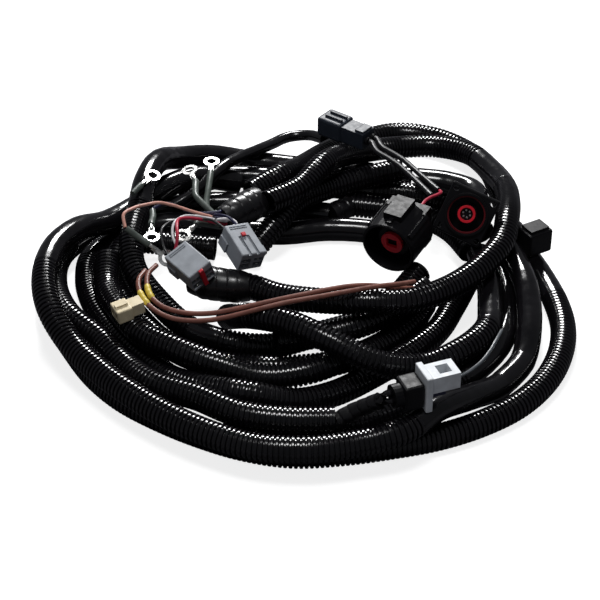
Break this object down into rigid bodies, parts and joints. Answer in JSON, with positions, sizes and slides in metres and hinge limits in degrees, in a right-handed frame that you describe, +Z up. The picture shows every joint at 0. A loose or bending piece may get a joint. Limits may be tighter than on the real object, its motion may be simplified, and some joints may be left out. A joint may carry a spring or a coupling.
{
  "type": "vehicle wiring harness",
  "caption": "Coiled vehicle wiring harness of black corrugated looms with round and box connectors, ring terminals and loose wires.",
  "frame": {"origin": "on the floor under the middle of the coil", "axes": "+X to the picture's right, +Y away from the camera, +Z up; the coil lies flat"},
  "size_m": [0.4138, 0.464, 0.0818],
  "materials": {
    "black_loom": "glossy black corrugated split loom tube",
    "black_tape": "wound black vinyl tape",
    "black_plastic": "moulded black nylon, slightly glossy",
    "slate_plastic": "moulded slate-blue plastic",
    "grey_plastic": "moulded mid-grey plastic",
    "pale_plastic": "moulded pale grey plastic",
    "cream_plastic": "moulded cream plastic",
    "red_seal": "red silicone seal and red lock plastic",
    "navy_plastic": "dark blue plastic",
    "brown_wire": "brown PVC insulation",
    "pink_wire": "pink PVC insulation",
    "red_wire": "red PVC insulation",
    "white_wire": "white PVC insulation",
    "navy_wire": "dark blue PVC insulation",
    "shrink_sleeve": "matt grey-green shrink sleeve",
    "tinned_copper": "tinned copper, satin"
  },
  "bodies": {
    "root": {"cable_f": "black_loom", "cap_g_housing": "slate_plastic", "lead_a_1": "black_loom", "lead_a_2": "black_loom", "lead_thin": "black_loom", "loom_back": "black_loom", "loom_branch": "black_loom", "loom_cross": "black_loom", "loom_feed": "black_loom", "loom_front": "black_loom", "loom_high": "black_loom", "loom_inner": "black_loom", "loom_low": "black_loom", "loom_middle": "black_loom", "loom_outer": "black_loom", "loom_rear": "black_loom", "loom_short": "black_loom", "loom_sweep": "black_loom", "loom_top": "black_loom", "loom_trunk": "black_loom", "loom_under": "black_loom", "plug_a_housing": "slate_plastic", "plug_a_seal": "black_plastic", "plug_d_housing": "grey_plastic", "plug_d_lock": "red_seal", "plug_e_housing": "grey_plastic", "plug_e_lock": "red_seal", "plug_f_collar": "pale_plastic", "plug_f_housing": "black_plastic", "plug_f_tongue": "navy_plastic", "plug_h_housing": "cream_plastic", "receptacle_core": "black_plastic", "receptacle_housing": "black_plastic", "receptacle_ring": "red_seal", "ring_1_sleeve": "shrink_sleeve", "ring_1_terminal": "tinned_copper", "ring_2_sleeve": "shrink_sleeve", "ring_2_terminal": "tinned_copper", "ring_3_sleeve": "shrink_sleeve", "ring_3_terminal": "tinned_copper", "ring_4_sleeve": "shrink_sleeve", "ring_4_terminal": "tinned_copper", "ring_5_sleeve": "shrink_sleeve", "ring_5_terminal": "tinned_copper", "ring_6_sleeve": "shrink_sleeve", "ring_6_terminal": "tinned_copper", "socket_core": "black_plastic", "socket_housing": "black_plastic", "socket_ring": "red_seal", "wire_brown_1": "brown_wire", "wire_brown_2": "brown_wire", "wire_navy": "navy_wire", "wire_pink": "pink_wire", "wire_plug_d": "red_wire", "wire_plug_e": "white_wire", "wire_red": "red_wire", "wrap_branch": "black_tape", "wrap_front": "black_tape", "wrap_rear": "black_tape"}
  },
  "joints": []
}
